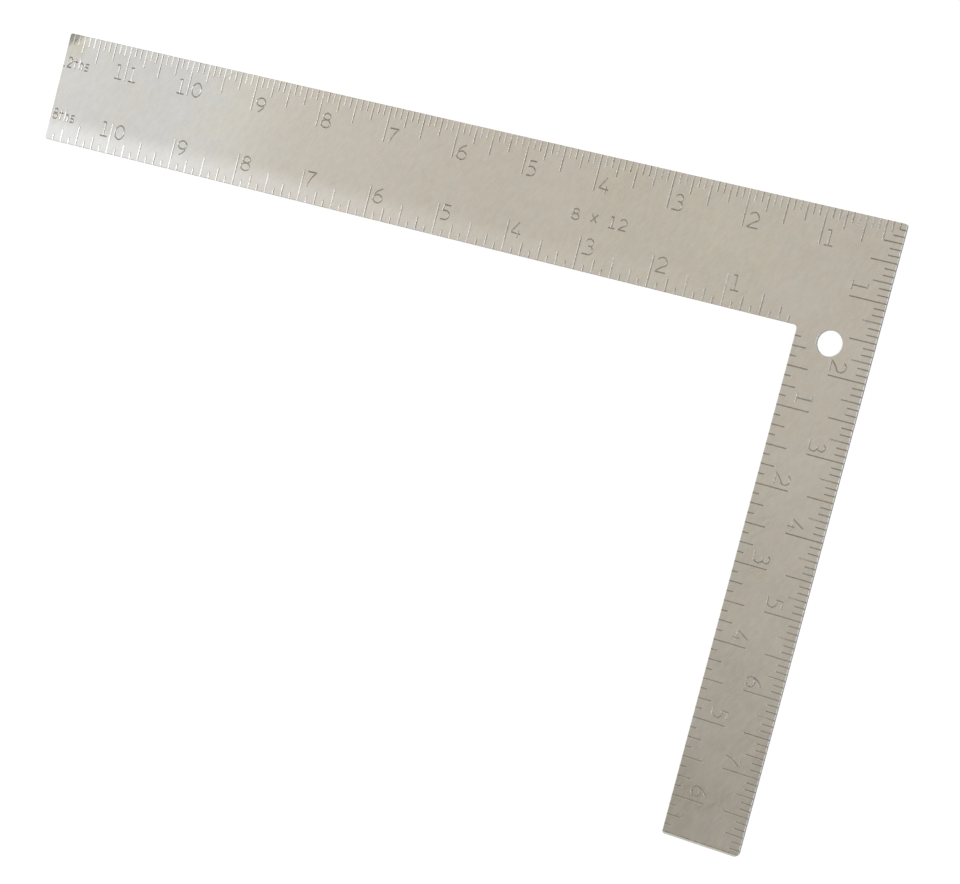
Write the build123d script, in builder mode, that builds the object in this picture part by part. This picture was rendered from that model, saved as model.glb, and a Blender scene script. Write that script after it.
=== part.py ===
from build123d import *
import os

# A steel square: one flat plate stamped in the shape of an L, 12 in by 8 in,
# with inch scales cut into both faces along all four edges.
#
# Frame: origin at the middle of the underside of the plate's bounding box,
# +X along the body (the long leg) towards the heel, +Y from the tongue's end
# (the short leg) towards the outer edge of the body, +Z out of the front face.

inch = 25.4

# ---------------------------------------------------------------- the plate
body_length = 12 * inch
body_width = 1.5 * inch
tongue_length = 8 * inch
tongue_width = 1 * inch
plate_thickness = 2.0

heel_radius = 0.8
inner_corner_radius = 1.2
body_end_radius = 0.7
tongue_outer_radius = 1.6
tongue_inner_radius = 0.9
rim_chamfer = 0.2

end_bevel_reach = 0.8
end_bevel_drop = 0.3

hole_diameter = 8.2
hole_from_tongue_edge = 14.1
hole_from_body_edge = 41.2

# --------------------------------------------------------------- the scales
groove_depth = 0.15
tick_width = 0.5
stroke_width = 0.5
run_out = 0.5

# Each scale gives the length of the tick for every step of so many divisions,
# and its largest step is the inch.
twelfths = {1: 0.14 * inch, 3: 0.24 * inch, 6: 0.335 * inch, 12: 0.475 * inch}
eighths = {1: 0.086 * inch, 2: 0.175 * inch, 4: 0.268 * inch, 8: 0.42 * inch}
sixteenths = {1: 0.1 * inch, 2: 0.14 * inch, 4: 0.24 * inch, 8: 0.335 * inch, 16: 0.475 * inch}
tenths = {1: 0.086 * inch, 5: 0.268 * inch, 10: 0.42 * inch}

numeral_height = 0.19 * inch
numeral_gap = 0.06 * inch
numeral_lead = 0.19 * inch
one_width = 0.54 * numeral_height
outer_numeral_drop = 0.47 * inch
inner_numeral_rise = 0.225 * inch

label_height = 0.14 * inch
label_pitch = 0.094 * inch
label_narrowing = 0.68
outer_label_drop = 0.466 * inch
inner_label_rise = 0.3 * inch

# Labels stand at the body's end. The front outer one starts past it, so that
# its first digit is cut off.
front_outer_label_x = -body_length - 0.03 * inch
front_inner_label_x = -body_length + 0.035 * inch
back_label_x = body_length - 0.455 * inch

size_mark = "8 X 12"
size_mark_pitch = 0.13 * inch
size_mark_from_heel = 4.2 * inch
size_mark_drop = 0.88 * inch

# ---------------------------------------------------- where the corners are
heel_x = body_length / 2
heel_y = tongue_length / 2
body_end_x = heel_x - body_length
tongue_end_y = heel_y - tongue_length
inner_x = heel_x - tongue_width
inner_y = heel_y - body_width
hole_x = heel_x - hole_from_tongue_edge
hole_y = heel_y - hole_from_body_edge

# --------------------------------------------------------------- characters
# Each character is drawn with single strokes in a box one unit high, its lower
# left corner at (0, 0). A stroke is either ("oval", centre, radii) or a start
# point followed by steps: one point is a straight run to it, and a pair of
# points is an arc through the first to the second.
strokes_of = {
    "0": [("oval", (0.37, 0.50), (0.37, 0.50))],
    "1": [[(0.05, 1.00), (0.27, 1.00), (0.27, 0.00)], [(0.00, 0.00), (0.54, 0.00)]],
    "2": [[(0.04, 0.84), ((0.45, 0.99), (0.63, 0.50)), ((0.28, 0.28), (0.00, 0.00)), (0.68, 0.00)]],
    "3": [
        [(0.15, 0.93), ((0.62, 0.86), (0.48, 0.56)), (0.32, 0.57)],
        [(0.48, 0.56), ((0.70, 0.29), (0.38, 0.00)), (0.00, 0.00)],
    ],
    "4": [[(0.44, 1.00), (0.00, 0.27), (0.66, 0.23)], [(0.50, 0.42), (0.50, 0.00)]],
    "5": [
        [(0.52, 1.00), (0.09, 1.00), (0.05, 0.60), (0.26, 0.62), ((0.58, 0.32), (0.25, 0.00)), (0.00, 0.00)],
    ],
    "6": [[(0.54, 1.00), ((0.14, 0.70), (0.00, 0.29))], ("oval", (0.34, 0.29), (0.34, 0.29))],
    "7": [[(0.00, 1.00), (0.63, 1.00), ((0.31, 0.55), (0.12, 0.00))]],
    "8": [("oval", (0.35, 0.77), (0.27, 0.23)), ("oval", (0.35, 0.27), (0.35, 0.27))],
    "9": [("oval", (0.34, 0.71), (0.34, 0.29)), [(0.68, 0.71), ((0.57, 0.30), (0.22, 0.00))]],
    "t": [[(0.30, 0.92), (0.30, 0.00)], [(0.02, 0.66), (0.60, 0.66)]],
    "h": [[(0.08, 1.00), (0.08, 0.00)], [(0.08, 0.44), ((0.33, 0.66), (0.58, 0.44)), (0.58, 0.00)]],
    "s": [
        [(0.56, 0.66), (0.22, 0.66), ((0.05, 0.50), (0.22, 0.34)), (0.40, 0.34)],
        [(0.40, 0.34), ((0.57, 0.17), (0.40, 0.00)), (0.04, 0.00)],
    ],
    "X": [[(0.05, 0.15), (0.60, 0.85)], [(0.05, 0.85), (0.60, 0.15)]],
}


def oval_stroke(centre, radii):
    """A closed oval stroke of the engraving tool's width."""
    with BuildSketch() as ring:
        with Locations(centre):
            Ellipse(radii[0] + stroke_width / 2, radii[1] + stroke_width / 2)
            Ellipse(radii[0] - stroke_width / 2, radii[1] - stroke_width / 2, mode=Mode.SUBTRACT)
    return ring.sketch


def open_stroke(points):
    """A round-ended stroke along straight runs and arcs."""
    with BuildLine() as path:
        start = points[0]
        for step in points[1:]:
            if isinstance(step[0], tuple):
                ThreePointArc(start, *step)
                start = step[1]
            else:
                Line(start, step)
                start = step
    with BuildSketch() as slot:
        for edge in path.edges():
            SlotArc(edge, stroke_width)
    return slot.sketch


def scaled(value, x_factor, y_factor):
    """A stroke's points, or a point, brought from the unit box to real size."""
    if isinstance(value[0], (int, float)):
        return (value[0] * x_factor, value[1] * y_factor)
    return tuple(scaled(item, x_factor, y_factor) for item in value)


def draw_character(name, height, narrowing=1.0):
    """One character as a sketch with its lower left corner at the origin."""
    with BuildSketch() as shape:
        for stroke in strokes_of[name]:
            if stroke[0] == "oval":
                centre, radii = scaled(stroke[1:], height * narrowing, height)
                add(oval_stroke(centre, radii))
            else:
                add(open_stroke(scaled(stroke, height * narrowing, height)))
    return shape.sketch


numerals = {digit: draw_character(digit, numeral_height) for digit in "0123456789"}
label_characters = {name: draw_character(name, label_height, label_narrowing) for name in "01268ths"}
mark_characters = {name: draw_character(name, label_height) for name in size_mark if name != " "}


# ------------------------------------------------------- engraving on a leg
# A leg is engraved in a plane with its origin at the heel, its y axis pointing
# out of the outer edge and its x axis in reading direction. Inches are counted
# away from the heel: along +x where `away` is 1, and along -x where it is -1.

def leg_plane(outward, normal, height):
    """The engraving plane of one leg on the face that looks along normal."""
    reading = Vector(outward).cross(Vector(normal))
    return Plane(origin=(heel_x, heel_y, height), x_dir=reading, z_dir=normal)


def add_ticks(scale, start, length, edge_y, inward, away):
    """Ticks along one edge, from `start` beyond the heel. Near the heel they stop at the diagonal."""
    divisions = max(scale)
    places = {}
    for count in range(1, round(length / inch * divisions)):
        place = start + count * inch / divisions
        reach = max(scale[step] for step in scale if count % step == 0)
        places.setdefault(min(reach, place), []).append(place)
    for reach, group in places.items():
        centre_y = edge_y + inward * (reach - run_out) / 2
        with Locations([(away * place, centre_y) for place in group]):
            Rectangle(tick_width, reach + run_out)


def add_numerals(start, length, base_y, away):
    """Inch numerals. One digit stands on the heel side of its tick, and two stand astride it."""
    for number in range(1, round(length / inch + 0.49)):
        tick_x = away * (start + number * inch)
        digits = str(number)
        if len(digits) == 2:
            with Locations((tick_x - numeral_gap - one_width, base_y)):
                add(numerals[digits[0]])
        before_tick = away == 1 and len(digits) == 1
        with Locations((tick_x - numeral_lead if before_tick else tick_x + numeral_gap, base_y)):
            add(numerals[digits[-1]])


def add_text(text, characters, pitch, start_x, base_y):
    """A row of small characters, evenly spaced from start_x."""
    for index, name in enumerate(text):
        if name != " ":
            with Locations((start_x + index * pitch, base_y)):
                add(characters[name])


def add_leg(length, width, corner, away, outer_scale, inner_scale):
    """Both scales of one leg. corner is how far the inner corner lies from the heel along it."""
    add_ticks(outer_scale, 0, length, 0, -1, away)
    add_ticks(inner_scale, corner, length - corner, -width, 1, away)
    add_numerals(0, length, -outer_numeral_drop, away)
    add_numerals(corner, length - corner, inner_numeral_rise - width, away)


def add_labels(outer_text, inner_text, outer_x, inner_x):
    """The names of the body's two scales."""
    add_text(outer_text, label_characters, label_pitch, outer_x, -outer_label_drop)
    add_text(inner_text, label_characters, label_pitch, inner_x, inner_label_rise - body_width)


# ---------------------------------------------------------------- the square
with BuildPart() as square_plate:
    # The stamped blank, with its corners broken.
    with BuildSketch():
        with BuildLine():
            Polyline(
                (heel_x, heel_y),
                (body_end_x, heel_y),
                (body_end_x, inner_y),
                (inner_x, inner_y),
                (inner_x, tongue_end_y),
                (heel_x, tongue_end_y),
                close=True,
            )
        make_face()
        corner_radii = {
            (heel_x, heel_y): heel_radius,
            (body_end_x, heel_y): body_end_radius,
            (body_end_x, inner_y): body_end_radius,
            (inner_x, inner_y): inner_corner_radius,
            (inner_x, tongue_end_y): tongue_inner_radius,
            (heel_x, tongue_end_y): tongue_outer_radius,
        }
        for corner, radius in corner_radii.items():
            fillet(vertices().sort_by_distance((*corner, 0))[0], radius)
    extrude(amount=plate_thickness)
    chamfer(faces().sort_by(Axis.Z)[-1].edges() + faces().sort_by(Axis.Z)[0].edges(), rim_chamfer)

    # The rolled-over end of the tongue.
    with BuildSketch(Plane.YZ):
        with Locations((tongue_end_y, plate_thickness)):
            Polygon((0, 0), (end_bevel_reach, 0), (0, -end_bevel_drop), align=None)
    extrude(amount=body_length, both=True, mode=Mode.SUBTRACT)

    # The hole that the square hangs by, with its two edges broken.
    with Locations((hole_x, hole_y, plate_thickness)):
        Hole(hole_diameter / 2)
    hole_rims = edges().filter_by(GeomType.CIRCLE).filter_by(lambda edge: edge.radius == hole_diameter / 2)
    chamfer(hole_rims, rim_chamfer)

    # The front face: twelfths outside and eighths inside.
    with BuildSketch(leg_plane((0, 1, 0), (0, 0, 1), plate_thickness)):
        add_leg(body_length, body_width, tongue_width, -1, twelfths, eighths)
        add_labels("12ths", "8ths", front_outer_label_x, front_inner_label_x)
        add_text(size_mark, mark_characters, size_mark_pitch, -size_mark_from_heel, -size_mark_drop)
    with BuildSketch(leg_plane((1, 0, 0), (0, 0, 1), plate_thickness)):
        add_leg(tongue_length, tongue_width, body_width, 1, twelfths, eighths)
    extrude(amount=-groove_depth, mode=Mode.SUBTRACT)

    # The back face: sixteenths outside and tenths inside.
    with BuildSketch(leg_plane((0, 1, 0), (0, 0, -1), 0)):
        add_leg(body_length, body_width, tongue_width, 1, sixteenths, tenths)
        add_labels("16ths", "10ths", back_label_x, back_label_x)
    with BuildSketch(leg_plane((1, 0, 0), (0, 0, -1), 0)):
        add_leg(tongue_length, tongue_width, body_width, -1, sixteenths, tenths)
    extrude(amount=-groove_depth, mode=Mode.SUBTRACT)

square_plate.part.label = "square_plate"

os.makedirs("parts", exist_ok=True)
export_step(square_plate.part, "parts/square_plate.step")
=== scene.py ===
import math

import bpy
import numpy as np
from mathutils import Matrix, Vector
from mathutils.geometry import delaunay_2d_cdt


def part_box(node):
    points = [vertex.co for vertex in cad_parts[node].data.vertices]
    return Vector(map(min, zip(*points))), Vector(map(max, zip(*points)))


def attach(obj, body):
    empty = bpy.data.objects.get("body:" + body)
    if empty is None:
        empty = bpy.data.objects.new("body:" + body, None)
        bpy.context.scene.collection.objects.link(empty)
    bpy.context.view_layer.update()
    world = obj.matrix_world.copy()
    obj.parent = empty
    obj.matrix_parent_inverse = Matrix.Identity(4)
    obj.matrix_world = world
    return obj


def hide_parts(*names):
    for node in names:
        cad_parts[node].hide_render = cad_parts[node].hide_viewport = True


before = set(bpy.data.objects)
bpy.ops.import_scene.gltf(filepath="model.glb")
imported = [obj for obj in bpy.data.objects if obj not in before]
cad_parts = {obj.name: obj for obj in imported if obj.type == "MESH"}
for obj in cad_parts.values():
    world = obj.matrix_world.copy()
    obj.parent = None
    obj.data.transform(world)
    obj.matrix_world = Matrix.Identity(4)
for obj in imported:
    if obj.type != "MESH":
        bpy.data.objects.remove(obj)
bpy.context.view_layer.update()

# A steel square: one flat L-shaped plate, 12 in by 8 in, with inch scales stamped into both faces.
# The mesh and its marks are worked out in millimetres and scaled to metres at the end.

NODE = "square_plate"
MM = 0.001
INCH = 25.4

# ---------------------------------------------------------------- the camera
CAMERA_PLACE = (0.29318, 0.04047, 0.70425)
CAMERA_LOOK = (-0.34467, -0.05185, -0.93729)
CAMERA_UP = (-0.25392, 0.96640, 0.03991)
CAMERA_LENS = 86.02
CAMERA_CLIP_START = 0.01


def make_camera():
    """The camera, placed by its view direction and by what is up in its picture."""
    data = bpy.data.cameras.new("camera")
    data.lens = CAMERA_LENS
    data.clip_start = CAMERA_CLIP_START
    back = -Vector(CAMERA_LOOK).normalized()
    right = Vector(CAMERA_UP).cross(back).normalized()
    up = back.cross(right)
    camera = bpy.data.objects.new("camera", data)
    turn = Matrix((right, up, back)).transposed()
    camera.matrix_world = Matrix.Translation(CAMERA_PLACE) @ turn.to_4x4()
    bpy.context.scene.collection.objects.link(camera)
    bpy.context.scene.camera = camera


make_camera()

# ------------------------------------------------------- sizes of the plate
LOW, HIGH = [[c / MM for c in corner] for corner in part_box(NODE)]
BODY_WIDTH = 1.5 * INCH
TONGUE_WIDTH = 1.0 * INCH
BODY_LENGTH = HIGH[0] - LOW[0]
TONGUE_LENGTH = HIGH[1] - LOW[1]
HEEL = np.array([HIGH[0], HIGH[1]])
INNER = HEEL - np.array([TONGUE_WIDTH, BODY_WIDTH])

# The outline anticlockwise from the heel: corner, radius, and whether the corner turns inwards.
CORNERS = [
    ((HEEL[0], HEEL[1]), 0.8, False),
    ((LOW[0], HEEL[1]), 0.7, False),
    ((LOW[0], INNER[1]), 0.7, False),
    ((INNER[0], INNER[1]), 1.2, True),
    ((INNER[0], LOW[1]), 0.9, False),
    ((HEEL[0], LOW[1]), 1.6, False),
]
CORNER_STEPS = 12
RIM_RADIUS = 0.2
RIM_STEPS = 5
# Loops of points further in than the rim, which keep its triangles short.
LOOP_INSETS = (0.45, 0.9)

HOLE_CENTRE = HEEL - np.array([14.1, 41.2])
HOLE_RADIUS = 4.1
HOLE_STEPS = 64

END_BEVEL_REACH = 0.62
END_BEVEL_DROP = 0.19

# ------------------------------------------------------- sizes of the marks
GROOVE_HALF_WIDTH = 0.28
GROOVE_DEPTH = 0.23
# The section of a groove at four places: how far each is from its middle line as a share of its
# half width, how deep it is there as a share of its depth, and how steep its normals are.
GROOVE_PLACES = (0.0, 0.35, 0.75, 1.0)
GROOVE_SHARES = (1.0, 0.70, 0.20, 0.0)
GROOVE_SLOPES = (0.90, 1.05, 1.05, 0.55)
# A tick's tip looks less steep than its sides.
TIP_SLOPE_SHARE = 0.35
ARC_STEP_DEGREES = 20
FEWEST_ARC_STEPS = 3
CAP_STEPS = 4
# A mitre is at most one over this share of the distance it is made for.
MITRE_SHARE = 0.5
# Ticks and the line of the bevel stop this far inside the outline.
EDGE_GAP = 0.01

# Tolerances in millimetres.
CDT_EPSILON = 1e-5
ON_LINE = 1e-4
TINY = 1e-6
NO_LENGTH = 1e-9

# Each scale gives the length of the tick for every step of so many divisions.
# Its largest step is the inch.
TWELFTHS = {1: 0.14 * INCH, 3: 0.24 * INCH, 6: 0.335 * INCH, 12: 0.475 * INCH}
EIGHTHS = {1: 0.086 * INCH, 2: 0.175 * INCH, 4: 0.268 * INCH, 8: 0.42 * INCH}
SIXTEENTHS = {1: 0.1 * INCH, 2: 0.14 * INCH, 4: 0.24 * INCH, 8: 0.335 * INCH, 16: 0.475 * INCH}
TENTHS = {1: 0.086 * INCH, 5: 0.268 * INCH, 10: 0.42 * INCH}

NUMERAL_HEIGHT = 0.19 * INCH
NUMERAL_GAP = 0.06 * INCH
NUMERAL_LEAD = 0.19 * INCH
ONE_WIDTH = 0.54 * NUMERAL_HEIGHT
OUTER_NUMERAL_DROP = 0.47 * INCH
INNER_NUMERAL_RISE = 0.225 * INCH

# The labels stand at the body's end. The front outer one starts past it, so its first digit is cut off.
LABEL_HEIGHT = 0.14 * INCH
LABEL_PITCH = 0.094 * INCH
LABEL_NARROWING = 0.68
OUTER_LABEL_DROP = 0.466 * INCH
INNER_LABEL_RISE = 0.3 * INCH
FRONT_OUTER_LABEL_U = -BODY_LENGTH - 0.03 * INCH
FRONT_INNER_LABEL_U = -BODY_LENGTH + 0.035 * INCH
BACK_LABEL_U = BODY_LENGTH - 0.455 * INCH

SIZE_MARK = "8 X 12"
SIZE_MARK_PITCH = 0.13 * INCH
SIZE_MARK_FROM_HEEL = 4.2 * INCH
SIZE_MARK_DROP = 0.88 * INCH

# Characters are single strokes in a box one unit high. A stroke is ("oval", centre, radii), or a
# start point and steps: a point is a straight run to it, a pair of points an arc through the first.
STROKES_OF = {
    "0": [("oval", (0.37, 0.50), (0.37, 0.50))],
    "1": [[(0.05, 1.00), (0.27, 1.00), (0.27, 0.00)], [(0.00, 0.00), (0.54, 0.00)]],
    "2": [[(0.04, 0.84), ((0.45, 0.99), (0.63, 0.50)), ((0.28, 0.28), (0.00, 0.00)), (0.68, 0.00)]],
    "3": [
        [(0.15, 0.93), ((0.62, 0.86), (0.48, 0.56)), (0.32, 0.57)],
        [(0.48, 0.56), ((0.70, 0.29), (0.38, 0.00)), (0.00, 0.00)],
    ],
    "4": [[(0.44, 1.00), (0.00, 0.27), (0.66, 0.23)], [(0.50, 0.42), (0.50, 0.00)]],
    "5": [
        [
            (0.52, 1.00),
            (0.09, 1.00),
            (0.05, 0.60),
            (0.26, 0.62),
            ((0.58, 0.32), (0.25, 0.00)),
            (0.00, 0.00),
        ],
    ],
    "6": [[(0.54, 1.00), ((0.14, 0.70), (0.00, 0.29))], ("oval", (0.34, 0.29), (0.34, 0.29))],
    "7": [[(0.00, 1.00), (0.63, 1.00), ((0.31, 0.55), (0.12, 0.00))]],
    "8": [("oval", (0.35, 0.77), (0.27, 0.23)), ("oval", (0.35, 0.27), (0.35, 0.27))],
    "9": [("oval", (0.34, 0.71), (0.34, 0.29)), [(0.68, 0.71), ((0.57, 0.30), (0.22, 0.00))]],
    "t": [[(0.30, 0.92), (0.30, 0.00)], [(0.02, 0.66), (0.60, 0.66)]],
    "h": [[(0.08, 1.00), (0.08, 0.00)], [(0.08, 0.44), ((0.33, 0.66), (0.58, 0.44)), (0.58, 0.00)]],
    "s": [
        [(0.56, 0.66), (0.22, 0.66), ((0.05, 0.50), (0.22, 0.34)), (0.40, 0.34)],
        [(0.40, 0.34), ((0.57, 0.17), (0.40, 0.00)), (0.04, 0.00)],
    ],
    "X": [[(0.05, 0.15), (0.60, 0.85)], [(0.05, 0.85), (0.60, 0.15)]],
}


# ------------------------------------------------------------ plane curves
def unit(vectors):
    """The vectors, each made one unit long. One of no length stays as it is."""
    return vectors / np.maximum(np.linalg.norm(vectors, axis=1), NO_LENGTH)[:, None]


def around(centre, radii, angles):
    """Points of a circle or an oval at the angles."""
    return np.stack([centre[0] + radii[0] * np.cos(angles), centre[1] + radii[1] * np.sin(angles)], axis=1)


def arc_between(centre, radius, start, turn, steps):
    """Points of an arc, both ends included, from the angle start through turn."""
    return around(centre, (radius, radius), start + turn * np.linspace(0, 1, steps + 1))


def arc_through(first, through, last):
    """Points of the arc from first through the middle point to last."""
    a, b, c = (np.array(p, float) for p in (first, through, last))
    ab, ac = b - a, c - a
    cross = 2 * (ab[0] * ac[1] - ab[1] * ac[0])
    offset = np.array([ac[1] * ab.dot(ab) - ab[1] * ac.dot(ac), ab[0] * ac.dot(ac) - ac[0] * ab.dot(ab)])
    centre = a + offset / cross
    start, end = (math.atan2(*(p - centre)[::-1]) for p in (a, c))
    turn = (end - start) % math.tau
    if cross < 0:
        turn -= math.tau
    steps = max(FEWEST_ARC_STEPS, math.ceil(abs(math.degrees(turn)) / ARC_STEP_DEGREES))
    return arc_between(centre, np.linalg.norm(a - centre), start, turn, steps)


def oval(centre, radii):
    """Points of a closed oval."""
    angles = np.linspace(0, math.tau, round(360 / ARC_STEP_DEGREES), endpoint=False)
    return around(centre, radii, angles)


def outline(inset):
    """The plate's outline, anticlockwise, moved inwards by inset."""
    points = []
    count = len(CORNERS)
    places = [np.array(corner[0]) for corner in CORNERS]
    for i, (_, radius, inward) in enumerate(CORNERS):
        before = places[i] - places[i - 1]
        after = places[(i + 1) % count] - places[i]
        normals = [np.array([-d[1], d[0]]) / np.linalg.norm(d) for d in (before, after)]
        side = -1 if inward else 1
        centre = places[i] + side * radius * (normals[0] + normals[1])
        start = math.atan2(-side * normals[0][1], -side * normals[0][0])
        turn = side * math.pi / 2
        points.append(arc_between(centre, radius - side * inset, start, turn, CORNER_STEPS))
    return np.concatenate(points)


def hole_outline(inset):
    """The hole's outline, moved into the steel by inset."""
    return arc_between(HOLE_CENTRE, HOLE_RADIUS + inset, 0, math.tau, HOLE_STEPS)[:-1]


# --------------------------------------------------------- marks on a face
class Face:
    """The marks of one face. side is 1 on the front and -1 on the back."""

    def __init__(self, side):
        self.side = side
        self.runs = []

    def add(self, points, ends="round"):
        """Adds a run of a stroke. Its ends are round, square, or, for a closed run, none."""
        self.runs.append((np.array(points), ends))


class Leg:
    """One leg of a face. u runs in reading direction from the heel, and v out of the outer edge."""

    def __init__(self, face, outward, length, width, corner):
        """corner is how far along the leg the inner corner lies from the heel."""
        self.face = face
        self.outward = np.array(outward, float)
        self.reading = face.side * np.array([outward[1], -outward[0]], float)
        self.length = length
        self.width = width
        self.corner = corner
        self.away = -1 if self.reading.sum() > 0 else 1

    def place(self, points):
        """Places on the plate of points given in u and v."""
        points = np.atleast_2d(points)
        return HEEL + points[:, :1] * self.reading + points[:, 1:] * self.outward

    def ticks(self, scale, start, length, edge_v, inward):
        """Ticks along one edge, from start beyond the heel. Near the heel they stop at the diagonal."""
        divisions = max(scale)
        for count in range(1, round(length / INCH * divisions)):
            place = start + count * INCH / divisions
            reach = min(max(scale[step] for step in scale if count % step == 0), place)
            ends = [(self.away * place, edge_v + inward * v) for v in (EDGE_GAP, reach)]
            self.face.add(self.place(ends), "square")

    def character(self, name, u, v, height, narrowing=1.0):
        """One character with its lower left corner at u, v."""
        size = np.array([height * narrowing, height])
        corner = np.array([u, v])
        for stroke in STROKES_OF[name]:
            if stroke[0] == "oval":
                ring = corner + oval(stroke[1], stroke[2]) * size
                self.face.add(self.place(ring), "none")
                continue
            start = stroke[0]
            for step in stroke[1:]:
                is_arc = isinstance(step[0], tuple)
                run = arc_through(start, *step) if is_arc else np.array([start, step])
                start = step[1] if is_arc else step
                self.face.add(self.place(corner + run * size))

    def numerals(self, start, length, v):
        """Inch numerals. One digit stands on the heel side of its tick, and two stand astride it."""
        for number in range(1, math.ceil(length / INCH - TINY)):
            tick = self.away * (start + number * INCH)
            digits = str(number)
            if len(digits) == 2:
                self.character(digits[0], tick - NUMERAL_GAP - ONE_WIDTH, v, NUMERAL_HEIGHT)
            before_tick = self.away == 1 and len(digits) == 1
            u = tick - NUMERAL_LEAD if before_tick else tick + NUMERAL_GAP
            self.character(digits[-1], u, v, NUMERAL_HEIGHT)

    def text(self, text, u, v, pitch, narrowing=1.0):
        """A row of small characters, evenly spaced from u."""
        for index, name in enumerate(text):
            if name != " ":
                self.character(name, u + index * pitch, v, LABEL_HEIGHT, narrowing)

    def scales(self, outer, inner):
        """The scales of both edges."""
        inner_length = self.length - self.corner
        self.ticks(outer, 0, self.length, 0, -1)
        self.ticks(inner, self.corner, inner_length, -self.width, 1)
        self.numerals(0, self.length, -OUTER_NUMERAL_DROP)
        self.numerals(self.corner, inner_length, INNER_NUMERAL_RISE - self.width)

    def labels(self, outer, inner, outer_u, inner_u):
        """The names of both scales."""
        self.text(outer, outer_u, -OUTER_LABEL_DROP, LABEL_PITCH, LABEL_NARROWING)
        self.text(inner, inner_u, INNER_LABEL_RISE - self.width, LABEL_PITCH, LABEL_NARROWING)


def marked_face(side):
    """A face with the scales of both legs."""
    face = Face(side)
    body = Leg(face, (0, 1), BODY_LENGTH, BODY_WIDTH, TONGUE_WIDTH)
    tongue = Leg(face, (1, 0), TONGUE_LENGTH, TONGUE_WIDTH, BODY_WIDTH)
    if side == 1:
        body.scales(TWELFTHS, EIGHTHS)
        tongue.scales(TWELFTHS, EIGHTHS)
        body.labels("12ths", "8ths", FRONT_OUTER_LABEL_U, FRONT_INNER_LABEL_U)
        body.text(SIZE_MARK, -SIZE_MARK_FROM_HEEL, -SIZE_MARK_DROP, SIZE_MARK_PITCH)
    else:
        body.scales(SIXTEENTHS, TENTHS)
        tongue.scales(SIXTEENTHS, TENTHS)
        body.labels("16ths", "10ths", BACK_LABEL_U, BACK_LABEL_U)
    return face


# ----------------------------------------------------- the shape of a face
def nearest_on_segments(points, starts, ends):
    """For each point: the distance to the nearest segment, the place on it, and its number."""
    along = ends - starts
    length2 = np.maximum((along ** 2).sum(1), TINY ** 2)
    best = np.full(len(points), np.inf)
    spot = np.zeros((len(points), 2))
    which = np.zeros(len(points), int)
    for i in range(len(starts)):
        t = np.clip(((points - starts[i]) @ along[i]) / length2[i], 0, 1)
        near = starts[i] + t[:, None] * along[i]
        distance = np.linalg.norm(points - near, axis=1)
        closer = distance < best
        best[closer], which[closer] = distance[closer], i
        spot[closer] = near[closer]
    return best, spot, which


class Surface:
    """The shape of a face at any point of the plate: its rim, its grooves and its bevelled end."""

    def __init__(self, face):
        ring, hole = outline(0), hole_outline(0)
        self.edge_starts = np.concatenate([ring, hole])
        self.edge_ends = np.concatenate([np.roll(ring, -1, axis=0), np.roll(hole, -1, axis=0)])
        starts, ends, tips = [], [], []
        nowhere = np.full(2, np.inf)
        for points, ends_kind in face.runs:
            line = np.vstack([points, points[:1]]) if ends_kind == "none" else points
            tip = line[-1] if ends_kind == "square" else nowhere
            starts.append(line[:-1])
            ends.append(line[1:])
            tips += [tip] * (len(line) - 1)
        self.starts = np.concatenate(starts)
        self.ends = np.concatenate(ends)
        self.tips = np.array(tips)
        self.bevelled = face.side == 1

    def edge(self, points):
        """How far each point is from the plate's nearest edge, and the direction towards that edge."""
        distance, spot, _ = nearest_on_segments(points, self.edge_starts, self.edge_ends)
        return distance, unit(spot - points)

    def groove(self, points):
        """Each point's share of a groove's depth, direction from its middle, slope, and if at a tip."""
        distance, spot, which = nearest_on_segments(points, self.starts, self.ends)
        place = np.clip(distance / GROOVE_HALF_WIDTH, 0, 1)
        share = np.interp(place, GROOVE_PLACES, GROOVE_SHARES)
        slope = np.interp(place, GROOVE_PLACES, GROOVE_SLOPES) * GROOVE_DEPTH / GROOVE_HALF_WIDTH
        at_tip = np.abs(spot - self.tips[which]).max(axis=1) < TINY
        return share, unit(points - spot), slope, at_tip

    def bevel(self, points):
        """How far the bevel at the tongue's end lies under the face's plane. The back has none."""
        if not self.bevelled:
            return np.zeros(len(points))
        return END_BEVEL_DROP * np.clip(1 - (points[:, 1] - LOW[1]) / END_BEVEL_REACH, 0, 1)


def rim_drop(edge):
    """How far the rounded rim lies under the face at a distance from the edge."""
    return RIM_RADIUS - np.sqrt(RIM_RADIUS ** 2 - np.clip(RIM_RADIUS - edge, 0, RIM_RADIUS) ** 2)


def offset_sides(points, closed):
    """The mitred normal of each point of a run."""
    if closed:
        before = points - np.roll(points, 1, axis=0)
        after = np.roll(points, -1, axis=0) - points
    else:
        steps = np.diff(points, axis=0)
        before = np.vstack([steps[:1], steps])
        after = np.vstack([steps, steps[-1:]])
    before, after = unit(before), unit(after)
    middle = unit(before + after)
    stretch = 1 / np.maximum((middle * before).sum(1), MITRE_SHARE)
    return np.stack([-middle[:, 1], middle[:, 0]], axis=1) * stretch[:, None]


def loops_around(points, distance, ends):
    """Closed loops at a distance from a run: two for a closed run, and one for a run with ends."""
    sides = offset_sides(points, ends == "none")
    left, right = points + sides * distance, points - sides * distance
    if ends == "none":
        return [left, right]
    if ends == "square":
        ahead = points[-1] - points[0]
        ahead = ahead / np.linalg.norm(ahead) * distance
        return [np.array([left[0], right[0], right[-1], right[-1] + ahead, left[-1] + ahead, left[-1]])]
    caps = []
    for end, side in ((points[-1], left[-1] - points[-1]), (points[0], right[0] - points[0])):
        start = math.atan2(side[1], side[0])
        caps.append(arc_between(end, distance, start, -math.pi, CAP_STEPS)[1:-1])
    return [np.concatenate([left, caps[0], right[::-1], caps[1]])]


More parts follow.
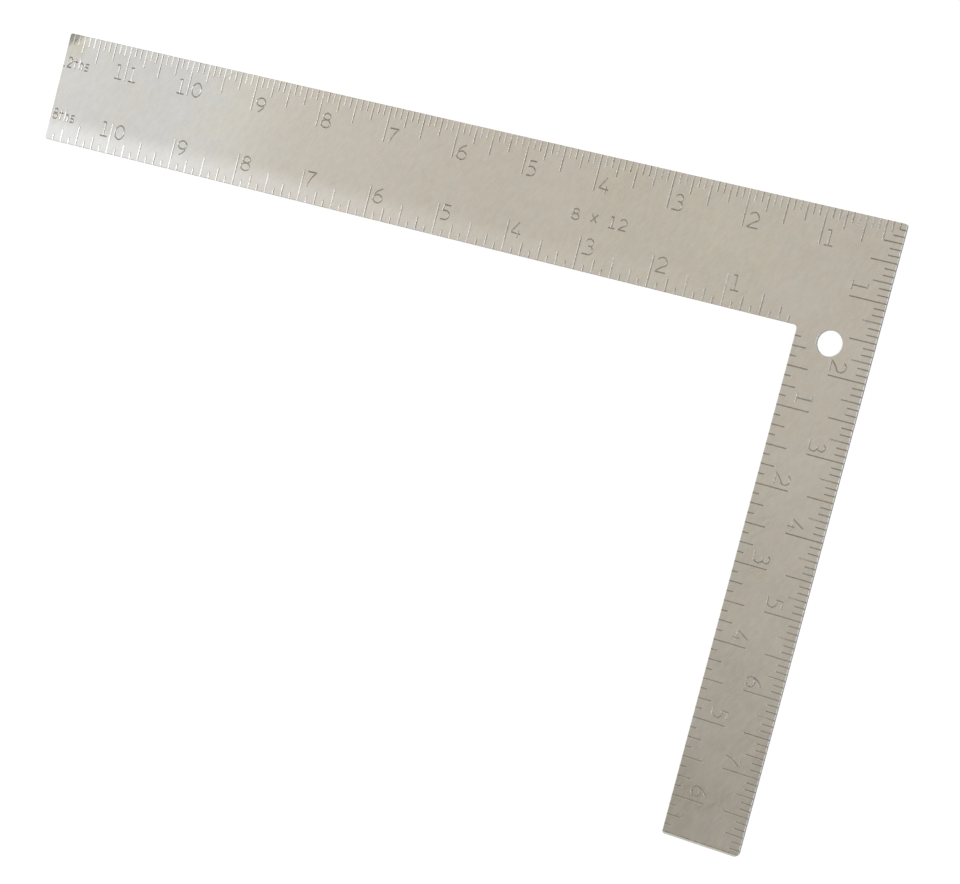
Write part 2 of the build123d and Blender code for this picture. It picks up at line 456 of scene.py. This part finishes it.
class Drawing:
    """Points and lines of a face in its plane, ready to be triangulated."""

    def __init__(self):
        self.points = []
        self.lines = []

    def add(self, points, closed=True):
        """Adds a line through the points, and gives their numbers."""
        first = len(self.points)
        self.points += [Vector(p) for p in points]
        count = len(points)
        self.lines += [(first + i, first + i + 1) for i in range(count - 1)]
        if closed:
            self.lines.append((first + count - 1, first))
        return range(first, first + count)


def inside(points, ring):
    """Whether each point lies inside a closed ring."""
    x, y = points[:, 0], points[:, 1]
    result = np.zeros(len(points), bool)
    for (x0, y0), (x1, y1) in zip(ring, np.roll(ring, -1, axis=0)):
        if y0 != y1:
            crosses = (y0 > y) != (y1 > y)
            result ^= crosses & (x < (x1 - x0) * (y - y0) / (y1 - y0) + x0)
    return result


def loop_insets():
    """How far in from the edge the loops of the rounded rim and those beyond it lie."""
    angles = np.linspace(0, math.pi / 2, RIM_STEPS)
    return [*(RIM_RADIUS * (1 - np.cos(angles[1:]))), *LOOP_INSETS]


def line_across(y):
    """A line across the tongue that stops just inside the plate's outline."""
    ring = outline(0)
    following = np.roll(ring, -1, axis=0)
    crossing = (ring[:, 1] > y) != (following[:, 1] > y)
    here, there = ring[crossing], following[crossing]
    x = here[:, 0] + (there[:, 0] - here[:, 0]) * (y - here[:, 1]) / (there[:, 1] - here[:, 1])
    return [(x.min() + EDGE_GAP, y), (x.max() - EDGE_GAP, y)]


def draw_face(face):
    """The face's lines in its plane, and the numbers of the points of its two edges."""
    drawing = Drawing()
    edge_loops = [drawing.add(outline(0)), drawing.add(hole_outline(0))]
    for inset in loop_insets():
        drawing.add(outline(inset))
        drawing.add(hole_outline(inset))
    for points, ends in face.runs:
        for place in GROOVE_PLACES[1:]:
            for loop in loops_around(points, GROOVE_HALF_WIDTH * place, ends):
                drawing.add(loop)
        drawing.add(points, closed=ends == "none")
    if face.side == 1:
        drawing.add(line_across(LOW[1] + END_BEVEL_REACH), closed=False)
    return drawing, edge_loops


def face_mesh(face):
    """The face's points, its triangles and their centres, and the loops of its two edges."""
    drawing, edge_loops = draw_face(face)
    found = delaunay_2d_cdt(drawing.points, drawing.lines, [], 0, CDT_EPSILON)
    points = np.array([(p.x, p.y) for p in found[0]])
    triangles = np.array(found[2])
    centres = points[triangles].mean(axis=1)
    kept = inside(centres, outline(0)) & ~inside(centres, hole_outline(0))
    used, triangles = np.unique(triangles[kept], return_inverse=True)
    triangles = triangles.reshape(-1, 3)
    place_of = {source: place for place, group in enumerate(found[3]) for source in group}
    loops = [[int(np.searchsorted(used, place_of[source])) for source in loop] for loop in edge_loops]
    return points[used], triangles, centres[kept], loops


def sides_of(points, loop):
    """For each side of a loop: its first point, and the points that lie on it before its last."""
    sides = []
    for first, last in zip(loop, loop[1:] + loop[:1]):
        along = points[last] - points[first]
        offset = points - points[first]
        share = offset @ along / along.dot(along)
        aside = np.abs(offset[:, 0] * along[1] - offset[:, 1] * along[0]) / np.linalg.norm(along)
        between = np.flatnonzero((aside < ON_LINE) & (share > TINY) & (share < 1 - TINY))
        sides.append([first, *(int(i) for i in between[np.argsort(share[between])])])
    return sides


def edge_directions():
    """For each point of the plate's outline and of its hole: the direction out of the steel."""
    return [-unit(offset_sides(outline(0), True)), unit(offset_sides(hole_outline(0), True))]


def groove_normals(triangles, away, slope, centre_away, at_tip):
    """The normal of each triangle's corners on the wall of a groove."""
    # A point on a groove's middle line has no side of its own and takes its triangle's.
    in_middle = np.linalg.norm(away, axis=1)[triangles] < 0.5
    wall_away = np.where(in_middle[:, :, None], centre_away[:, None, :], away[triangles])
    wall_slope = slope[triangles] * np.where(at_tip, TIP_SLOPE_SHARE, 1)[:, None]
    normals = np.concatenate([-wall_away * wall_slope[:, :, None], np.ones((len(triangles), 3, 1))], axis=2)
    return normals / np.linalg.norm(normals, axis=2)[:, :, None]


def face_relief(face, points, triangles, centres, loops):
    """Each point's depth under the face's plane and share of a groove, and each triangle corner's normal."""
    surface = Surface(face)
    edge, outward = surface.edge(points)
    for loop, directions in zip(loops, edge_directions()):
        outward[loop] = directions
    share, away, slope, _ = surface.groove(points)
    depth = np.maximum.reduce([rim_drop(edge), share * GROOVE_DEPTH, surface.bevel(points)])

    centre_rim = rim_drop(surface.edge(centres)[0])
    centre_share, centre_away, _, at_tip = surface.groove(centres)
    centre_bevel = surface.bevel(centres)
    on_rim = centre_rim > TINY
    on_bevel = centre_bevel > np.maximum(centre_rim, TINY)
    around_groove = np.maximum(centre_rim, centre_bevel)
    in_groove = centre_share * GROOVE_DEPTH > np.maximum(around_groove, TINY)

    cosine = np.clip(1 - edge / RIM_RADIUS, 0, 1)[:, None]
    rim_normals = np.concatenate([outward * cosine, np.sqrt(1 - cosine ** 2)], axis=1)
    normals = np.zeros((len(triangles), 3, 3))
    normals[:, :, 2] = 1
    normals[on_rim] = rim_normals[triangles[on_rim]]
    normals[on_bevel] = unit(np.array([[0, -END_BEVEL_DROP, END_BEVEL_REACH]]))[0]
    normals[in_groove] = groove_normals(triangles, away, slope, centre_away, at_tip)[in_groove]
    return depth, share, normals


def wall_faces(top, bottom, directions, is_hole):
    """A wall between the sides of two loops: each face as corners of a vertex and a direction."""
    faces = []
    for i in range(len(top)):
        j = (i + 1) % len(top)
        middle = (directions[i] + directions[j]) / 2
        upper = [(top[i][0], directions[i]), *((vertex, middle) for vertex in top[i][1:])]
        lower = [(bottom[i][0], directions[i]), *((vertex, middle) for vertex in bottom[i][1:])]
        corners = [(top[j][0], directions[j]), *reversed(upper), *lower, (bottom[j][0], directions[j])]
        if is_hole:
            corners.reverse()
        faces.append(corners)
    return faces


def build_plate():
    """The whole plate: two marked faces, joined by the walls of its outline and its hole."""
    vertices, faces, normals, marks, walls = [], [], [], [], []
    sides = {}
    for side in (1, -1):
        face = marked_face(side)
        points, triangles, centres, loops = face_mesh(face)
        depth, share, corners = face_relief(face, points, triangles, centres, loops)
        z = (HIGH[2] - depth) if side == 1 else (LOW[2] + depth)
        first = len(vertices)
        vertices += [(x, y, h) for (x, y), h in zip(points, z)]
        marks += list(share)
        if side == -1:
            triangles, corners = triangles[:, ::-1], corners[:, ::-1] * np.array([1, 1, -1])
        faces += [tuple(int(i) + first for i in triangle) for triangle in triangles]
        normals += [tuple(n) for corner in corners for n in corner]
        walls += [0] * len(triangles)
        sides[side] = [[[i + first for i in some] for some in sides_of(points, loop)] for loop in loops]
    for ring, directions in enumerate(edge_directions()):
        for corners in wall_faces(sides[1][ring], sides[-1][ring], directions, is_hole=ring == 1):
            faces.append([vertex for vertex, _ in corners])
            normals += [(direction[0], direction[1], 0.0) for _, direction in corners]
            walls.append(1)
    mesh = bpy.data.meshes.new("square_steel")
    mesh.from_pydata([Vector(v) * MM for v in vertices], [], faces)
    mesh.shade_smooth()
    mesh.normals_split_custom_set(normals)
    mesh.attributes.new("cut", "FLOAT", "POINT").data.foreach_set("value", marks)
    mesh.polygons.foreach_set("material_index", walls)
    plate = bpy.data.objects.new("square_steel", mesh)
    bpy.context.scene.collection.objects.link(plate)
    return plate


# --------------------------------------------------------------- materials
# Patterns of the steel: turn in degrees, stretch, scale per metre, detail, and roughness.
EVEN = (1.0, 1.0, 1.0)
CLOUDS = (0, EVEN, 210.0, 3.0, 0.5)
STAINS = (0, EVEN, 38.0, 4.0, 0.6)
BRUSH_LINES = (-66, (0.12, 1.0, 1.0), 2600.0, 3.0, 0.6)
SPECKLE = (0, EVEN, 1900.0, 2.0, 0.5)
RIPPLES = (-66, (0.45, 1.0, 1.0), 800.0, 3.0, 0.55)
SCRATCH_COURSES = (-38, (0.045, 1.0, 1.0), 330.0, 1.0, 0.5)
SCRATCH_PATCHES = (20, EVEN, 70.0, 2.0, 0.5)
PAINTED_SHADE_DASHES = (0, EVEN, 1200.0, 1.0, 0.5)
SHEARED_STREAKS = (0, (1.0, 1.0, 0.05), 2400.0, 3.0, 0.6)

# The steel's own warm grey, lightened and darkened along the body as painted light and shade: place on X in
# metres, and colour. Between them it changes evenly.
STEEL_TONES_AND_PAINTED_LIGHT = [
    (-0.128, (0.640, 0.612, 0.563, 1)),
    (-0.105, (0.655, 0.633, 0.597, 1)),
    (-0.080, (0.660, 0.630, 0.560, 1)),
    (-0.056, (0.625, 0.576, 0.507, 1)),
    (0.005, (0.622, 0.578, 0.510, 1)),
    (0.070, (0.641, 0.609, 0.546, 1)),
    (0.108, (0.655, 0.627, 0.568, 1)),
    (0.128, (0.640, 0.612, 0.563, 1)),
]
CLOUD_WARM = (1.01, 1.0, 0.985, 1)
CLOUD_COOL = (0.99, 1.0, 1.015, 1)
# Where the cloud pattern is warm and where it is cool.
CLOUD_RANGE = (0.35, 0.65)
# How much each pattern lightens or darkens the steel.
STAIN_SHADE = (0.97, 1.01)
LINE_SHADE = 0.03
SPECKLE_SHADE = 0.02
RIPPLE_SHADE = 0.035
# Painted shade: the tongue darkens a little towards its end.
TONGUE_PAINTED_SHADE = 0.95
TONGUE_SHADE_FROM = -0.040
TONGUE_SHADE_TO = -0.095

STAIN_ROUGHNESS = (0.27, 0.34)
LINE_ROUGHNESS = 0.03
# Heights of the relief in metres, and the shares of the lines and of the speckle in the fine grain.
RIPPLE_HEIGHT = 0.000008
GRAIN_HEIGHT = 0.0000015
LINES_IN_GRAIN = 0.7
SPECKLE_IN_GRAIN = 0.3

# A painted highlight lies along the body's inner edge, most at its end and less towards the heel.
INNER_EDGE_HIGHLIGHT_COLOUR = (0.95, 0.93, 0.895, 1)
INNER_EDGE_HIGHLIGHT_FULL = INNER[1] * MM + 0.003
INNER_EDGE_HIGHLIGHT_OVER = INNER[1] * MM + 0.010
INNER_EDGE_HIGHLIGHT_FROM = -0.130
INNER_EDGE_HIGHLIGHT_TO = 0.120
INNER_EDGE_HIGHLIGHT_STRENGTH = 0.47

# The marks and a thin broken line beside the tongue's bevelled end are darkened as painted shade, and the
# scratches hold dirt, all in one dark colour.
SCRATCH_DIRT_AND_SHADE_COLOUR = (0.27, 0.245, 0.205, 1)
PAINTED_SHADE_IN_MARKS = 0.46
GRIME_IN_SCRATCHES = 0.12
PAINTED_SHADE_IN_LINE = 0.85
# The painted shade in the marks starts and is full at these shares of a groove's depth.
PAINTED_SHADE_DEPTHS = (0.3, 0.9)
PAINTED_SHADE_LINE_Y = (LOW[1] + 0.80) * MM
PAINTED_SHADE_LINE_HALF_WIDTH = 0.00028
# The line's gaps keep this share of its painted shade.
PAINTED_SHADE_IN_GAPS = 0.25
PAINTED_SHADE_GAP_RANGE = (0.4, 0.6)

# A scratch runs where its pattern is this near its middle value: solid within the first, gone by the last.
SCRATCH_OFFSETS = (0.004, 0.012)
SCRATCH_PATCH_RANGE = (0.56, 0.64)

# Stains at the outer corner of the body's end: place and radius in metres, strength, and colour.
CORNER_STAINS = [
    ((-0.1500, 0.0985, 0.002), 0.0055, 0.55, (0.56, 0.50, 0.36, 1)),
    ((-0.1515, 0.1014, 0.002), 0.0042, 0.75, (0.20, 0.20, 0.19, 1)),
]

# The sheared edge: its two colours, both dark as painted shade, the share of the bright one in its streaks,
# and its relief.
SHEARED_PAINTED_SHADE_DARK = (0.20, 0.21, 0.235, 1)
SHEARED_PAINTED_SHADE_LIGHT = (0.42, 0.43, 0.45, 1)
SHEARED_BRIGHT_SHARE = 0.6
SHEARED_BRIGHT_RANGE = (0.35, 0.7)
SHEARED_ROUGHNESS = (0.6, 0.45)
SHEARED_HEIGHT = 0.00004
SHEARED_RELIEF_STRENGTH = 0.6


# A stain's radius wavers by this share of itself, and it fades between these shares of its radius.
STAIN_WAVER = 0.5
STAIN_FADE = (0.4, 1.1)


class Nodes:
    """A short way to build a node tree. A link is made where an input is given a node's output."""

    def __init__(self, tree):
        self.tree = tree
        tree.nodes.clear()

    def add(self, kind, inputs=None, **settings):
        """A node with its settings and inputs."""
        node = self.tree.nodes.new(kind)
        for name, value in settings.items():
            setattr(node, name, value)
        for name, value in (inputs or {}).items():
            if isinstance(value, bpy.types.NodeSocket):
                self.tree.links.new(value, node.inputs[name])
            else:
                node.inputs[name].default_value = value
        return node

    def math(self, operation, a, b=0.0, c=0.0):
        """A sum, a product or another operation on numbers."""
        return self.add("ShaderNodeMath", {0: a, 1: b, 2: c}, operation=operation).outputs[0]

    def blend(self, share, first, second, mode="MIX"):
        """A colour between two others."""
        sockets = {0: share, 6: first, 7: second}
        return self.add("ShaderNodeMix", sockets, data_type="RGBA", blend_type=mode).outputs[2]

    def scale(self, value, low_in, high_in, low_out, high_out, smooth=False):
        """A value brought from one range to another."""
        kind = "SMOOTHSTEP" if smooth else "LINEAR"
        sockets = {0: value, 1: low_in, 2: high_in, 3: low_out, 4: high_out}
        return self.add("ShaderNodeMapRange", sockets, interpolation_type=kind).outputs[0]

    def vary(self, pattern, least, most):
        """A value between least and most that follows a pattern, most of which lies near its middle."""
        return self.scale(pattern, 0.3, 0.7, least, most)

    def here(self):
        """The place on the plate, in metres."""
        return self.add("ShaderNodeTexCoord").outputs["Object"]

    def pattern(self, turn, stretch, scale, detail, roughness):
        """A noise, turned about Z in degrees and then stretched."""
        turn_sockets = {"Vector": self.here(), "Rotation": (0, 0, math.radians(turn))}
        turned = self.add("ShaderNodeMapping", turn_sockets).outputs[0]
        place = self.add("ShaderNodeMapping", {"Vector": turned, "Scale": stretch}).outputs[0]
        sockets = {"Vector": place, "Scale": scale, "Detail": detail, "Roughness": roughness}
        return self.add("ShaderNodeTexNoise", sockets).outputs["Fac"]

    def bump(self, height, distance, strength=1.0, below=None):
        """Relief of a height pattern, on top of the relief below it, if there is one."""
        sockets = {"Strength": strength, "Distance": distance, "Height": height}
        if below:
            sockets["Normal"] = below
        return self.add("ShaderNodeBump", sockets).outputs[0]

    def tones(self, value, stops):
        """A colour that changes evenly from stop to stop as the value goes from the first to the last."""
        first, last = stops[0][0], stops[-1][0]
        node = self.add("ShaderNodeValToRGB", {"Fac": self.scale(value, first, last, 0.0, 1.0)})
        elements = node.color_ramp.elements
        elements[0].color = stops[0][1]
        elements[1].color = stops[-1][1]
        for place, colour in stops[1:-1]:
            elements.new((place - first) / (last - first)).color = colour
        return node.outputs["Color"]

    def spot(self, place, radius, strength, ragged):
        """A share that falls from strength at a place to nothing at about a radius, raggedly."""
        sockets = {0: self.here(), 1: place}
        reach = self.add("ShaderNodeVectorMath", sockets, operation="DISTANCE").outputs["Value"]
        waver = self.scale(ragged, 0.2, 0.8, -STAIN_WAVER, STAIN_WAVER)
        reach = self.math("ADD", self.math("DIVIDE", reach, radius), waver)
        return self.scale(reach, *STAIN_FADE, strength, 0.0)

    def scratches(self):
        """Sparse, hair-thin scratches: contour lines of one pattern, where another lets them show."""
        offset = self.math("ABSOLUTE", self.math("SUBTRACT", self.pattern(*SCRATCH_COURSES), 0.5))
        patches = self.pattern(*SCRATCH_PATCHES)
        shown = self.scale(patches, *SCRATCH_PATCH_RANGE, 0.0, GRIME_IN_SCRATCHES)
        return self.math("MULTIPLY", self.scale(offset, *SCRATCH_OFFSETS, 1.0, 0.0), shown)

    def steel(self, colour, roughness, bump):
        """The metal itself, which ends the tree."""
        sockets = {"Base Color": colour, "Metallic": 1.0, "Roughness": roughness, "Normal": bump}
        shader = self.add("ShaderNodeBsdfPrincipled", sockets)
        self.add("ShaderNodeOutputMaterial", {"Surface": shader.outputs[0]})


def new_material(name):
    """An empty material and the builder of its nodes."""
    material = bpy.data.materials.new(name)
    material.use_nodes = True
    return material, Nodes(material.node_tree)


def steel_shade(nodes, y, stains, lines, speckle, ripples):
    """How light the steel is: its patterns, and the painted shade that darkens the tongue's end."""
    # Painted shade towards the tongue's end.
    tongue = nodes.scale(y, TONGUE_SHADE_TO, TONGUE_SHADE_FROM, TONGUE_PAINTED_SHADE, 1.0)
    shade = nodes.math("ADD", nodes.vary(stains, *STAIN_SHADE), nodes.vary(lines, -LINE_SHADE, LINE_SHADE))
    shade = nodes.math("MULTIPLY", shade, tongue)
    shade = nodes.math("ADD", shade, nodes.vary(speckle, -SPECKLE_SHADE, SPECKLE_SHADE))
    shade = nodes.math("ADD", shade, nodes.vary(ripples, -RIPPLE_SHADE, RIPPLE_SHADE))
    return nodes.add("ShaderNodeCombineColor", {0: shade, 1: shade, 2: shade}).outputs[0]


def grime_line(nodes, y):
    """A share for the thin broken line of painted shade in the crease beside the tongue's bevelled end."""
    offset = nodes.math("ABSOLUTE", nodes.math("SUBTRACT", y, PAINTED_SHADE_LINE_Y))
    line = nodes.scale(offset, 0.0, PAINTED_SHADE_LINE_HALF_WIDTH, PAINTED_SHADE_IN_LINE, 0.0)
    dashes = nodes.scale(nodes.pattern(*PAINTED_SHADE_DASHES), *PAINTED_SHADE_GAP_RANGE, PAINTED_SHADE_IN_GAPS, 1.0)
    return nodes.math("MULTIPLY", line, dashes)


def steel_face_material():
    """Mill-finished steel: slanting brush lines, cloudy stains, painted light and shade along the body, a
    painted highlight on the inner edge, and painted shade in the marks.
    """
    material, nodes = new_material("steel_face_and_painted_light")
    stains = nodes.pattern(*STAINS)
    lines = nodes.pattern(*BRUSH_LINES)
    speckle = nodes.pattern(*SPECKLE)
    ripples = nodes.pattern(*RIPPLES)
    cut = nodes.add("ShaderNodeAttribute", attribute_name="cut").outputs["Fac"]
    x, y, _ = nodes.add("ShaderNodeSeparateXYZ", {0: nodes.here()}).outputs

    cloudiness = nodes.scale(nodes.pattern(*CLOUDS), *CLOUD_RANGE, 0.0, 1.0)
    cloud_tint = nodes.blend(cloudiness, CLOUD_WARM, CLOUD_COOL)
    # Painted light and shade: the steel's colour lightens and darkens along the body.
    colour = nodes.blend(1.0, nodes.tones(x, STEEL_TONES_AND_PAINTED_LIGHT), cloud_tint, "MULTIPLY")
    # Painted highlight along the body's inner edge, strongest at the body's end.
    highlight_along = nodes.scale(x, INNER_EDGE_HIGHLIGHT_FROM, INNER_EDGE_HIGHLIGHT_TO, INNER_EDGE_HIGHLIGHT_STRENGTH, 0.0)
    highlight_across = nodes.scale(y, INNER_EDGE_HIGHLIGHT_FULL, INNER_EDGE_HIGHLIGHT_OVER, 1.0, 0.0, smooth=True)
    colour = nodes.blend(nodes.math("MULTIPLY", highlight_along, highlight_across), colour, INNER_EDGE_HIGHLIGHT_COLOUR)
    # Painted shade: a thin broken dark line beside the tongue's bevelled end.
    colour = nodes.blend(grime_line(nodes, y), colour, SCRATCH_DIRT_AND_SHADE_COLOUR)
    shade = steel_shade(nodes, y, stains, lines, speckle, ripples)
    colour = nodes.blend(1.0, colour, shade, "MULTIPLY")
    colour = nodes.blend(nodes.scratches(), colour, SCRATCH_DIRT_AND_SHADE_COLOUR)
    for centre, radius, strength, stain in CORNER_STAINS:
        colour = nodes.blend(nodes.spot(centre, radius, strength, ripples), colour, stain)
    # Painted shade: the marks darken towards their bottoms.
    colour = nodes.blend(nodes.scale(cut, *PAINTED_SHADE_DEPTHS, 0.0, PAINTED_SHADE_IN_MARKS), colour, SCRATCH_DIRT_AND_SHADE_COLOUR)

    roughness = nodes.math(
        "ADD",
        nodes.vary(stains, *STAIN_ROUGHNESS),
        nodes.vary(lines, -LINE_ROUGHNESS, LINE_ROUGHNESS),
    )
    grain = nodes.math(
        "ADD",
        nodes.math("MULTIPLY", lines, LINES_IN_GRAIN),
        nodes.math("MULTIPLY", speckle, SPECKLE_IN_GRAIN),
    )
    relief = nodes.bump(ripples, RIPPLE_HEIGHT)
    nodes.steel(colour, roughness, nodes.bump(grain, GRAIN_HEIGHT, below=relief))
    return material


def steel_edge_material():
    """The sheared edge: coloured dark as painted shade, rough, and streaked from face to face."""
    material, nodes = new_material("steel_edge_painted_shade")
    streaks = nodes.pattern(*SHEARED_STREAKS)
    brightness = nodes.scale(streaks, *SHEARED_BRIGHT_RANGE, 0.0, SHEARED_BRIGHT_SHARE)
    # Painted shade: both of the edge's colours are dark, in place of the dark surroundings it mirrors.
    colour = nodes.blend(brightness, SHEARED_PAINTED_SHADE_DARK, SHEARED_PAINTED_SHADE_LIGHT)
    roughness = nodes.vary(streaks, *SHEARED_ROUGHNESS)
    nodes.steel(colour, roughness, nodes.bump(streaks, SHEARED_HEIGHT, SHEARED_RELIEF_STRENGTH))
    return material


# ----------------------------------------------------------- light and floor
ROOM_LIGHT = (0.25, 0.25, 0.255, 1)
WHITE = (1, 1, 1, 1)
# Each glow: direction, degrees to where it is full and to where it ends, and colour.
GLOWS = [
    ((0.0, 0.0, 1.0), 38, 80, (0.77, 0.73, 0.655, 1)),
    ((0.92, 0.0, 0.38), 13, 24, (0.18, 0.18, 0.18, 1)),
    ((0.59, 0.0, 0.81), 11, 20, (3.20, 3.32, 3.52, 1)),
    ((-0.70, 0.06, 0.71), 8, 23, (1.27, 1.35, 1.47, 1)),
    ((-0.2, -0.36, 0.90), 6, 19, (0.21, 0.19, 0.165, 1)),
    ((0.0, -0.74, 0.67), 8, 20, (1.25, 1.28, 1.33, 1)),
    ((0.0, 0.95, 0.3), 8, 24, (0.85, 0.83, 0.80, 1)),
]

FLOOR_SIZE = 6.0
FLOOR_COLOUR = (0.3, 0.3, 0.3, 1)
# The floor shines just enough to look white wherever the plate doesn't shade it.
FLOOR_GLOW = 0.84


def make_world():
    """A soft studio room: a warm ceiling, brighter panels around it, and two darker patches."""
    world = bpy.data.worlds.new("studio")
    world.use_nodes = True
    bpy.context.scene.world = world
    nodes = Nodes(world.node_tree)
    direction = nodes.add("ShaderNodeTexCoord").outputs["Generated"]
    light = ROOM_LIGHT
    for towards, inner, outer, colour in GLOWS:
        sockets = {0: direction, 1: Vector(towards).normalized()}
        along = nodes.add("ShaderNodeVectorMath", sockets, operation="DOT_PRODUCT").outputs["Value"]
        ends = math.cos(math.radians(outer)), math.cos(math.radians(inner))
        light = nodes.blend(nodes.scale(along, *ends, 0.0, 1.0, smooth=True), light, colour)
    seen = nodes.add("ShaderNodeLightPath").outputs["Is Camera Ray"]
    background = nodes.add("ShaderNodeBackground", {"Color": nodes.blend(seen, light, WHITE)})
    nodes.add("ShaderNodeOutputWorld", {"Surface": background.outputs[0]})


def make_floor():
    """A plain white floor that keeps only a faint shadow where the plate touches it."""
    mesh = bpy.data.meshes.new("floor")
    half = FLOOR_SIZE / 2
    z = LOW[2] * MM
    corners = [(-half, -half, z), (half, -half, z), (half, half, z), (-half, half, z)]
    mesh.from_pydata(corners, [], [(0, 1, 2, 3)])
    floor = bpy.data.objects.new("floor", mesh)
    bpy.context.scene.collection.objects.link(floor)
    material, nodes = new_material("floor_white")
    shader = nodes.add(
        "ShaderNodeBsdfPrincipled",
        {
            "Base Color": FLOOR_COLOUR,
            "Roughness": 1.0,
            "Specular IOR Level": 0.0,
            "Emission Color": WHITE,
            "Emission Strength": FLOOR_GLOW,
        },
    )
    nodes.add("ShaderNodeOutputMaterial", {"Surface": shader.outputs[0]})
    mesh.materials.append(material)


plate = build_plate()
plate.data.materials.append(steel_face_material())
plate.data.materials.append(steel_edge_material())
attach(plate, "root")
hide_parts(NODE)

make_world()
make_floor()
bpy.context.scene.view_settings.view_transform = "Standard"
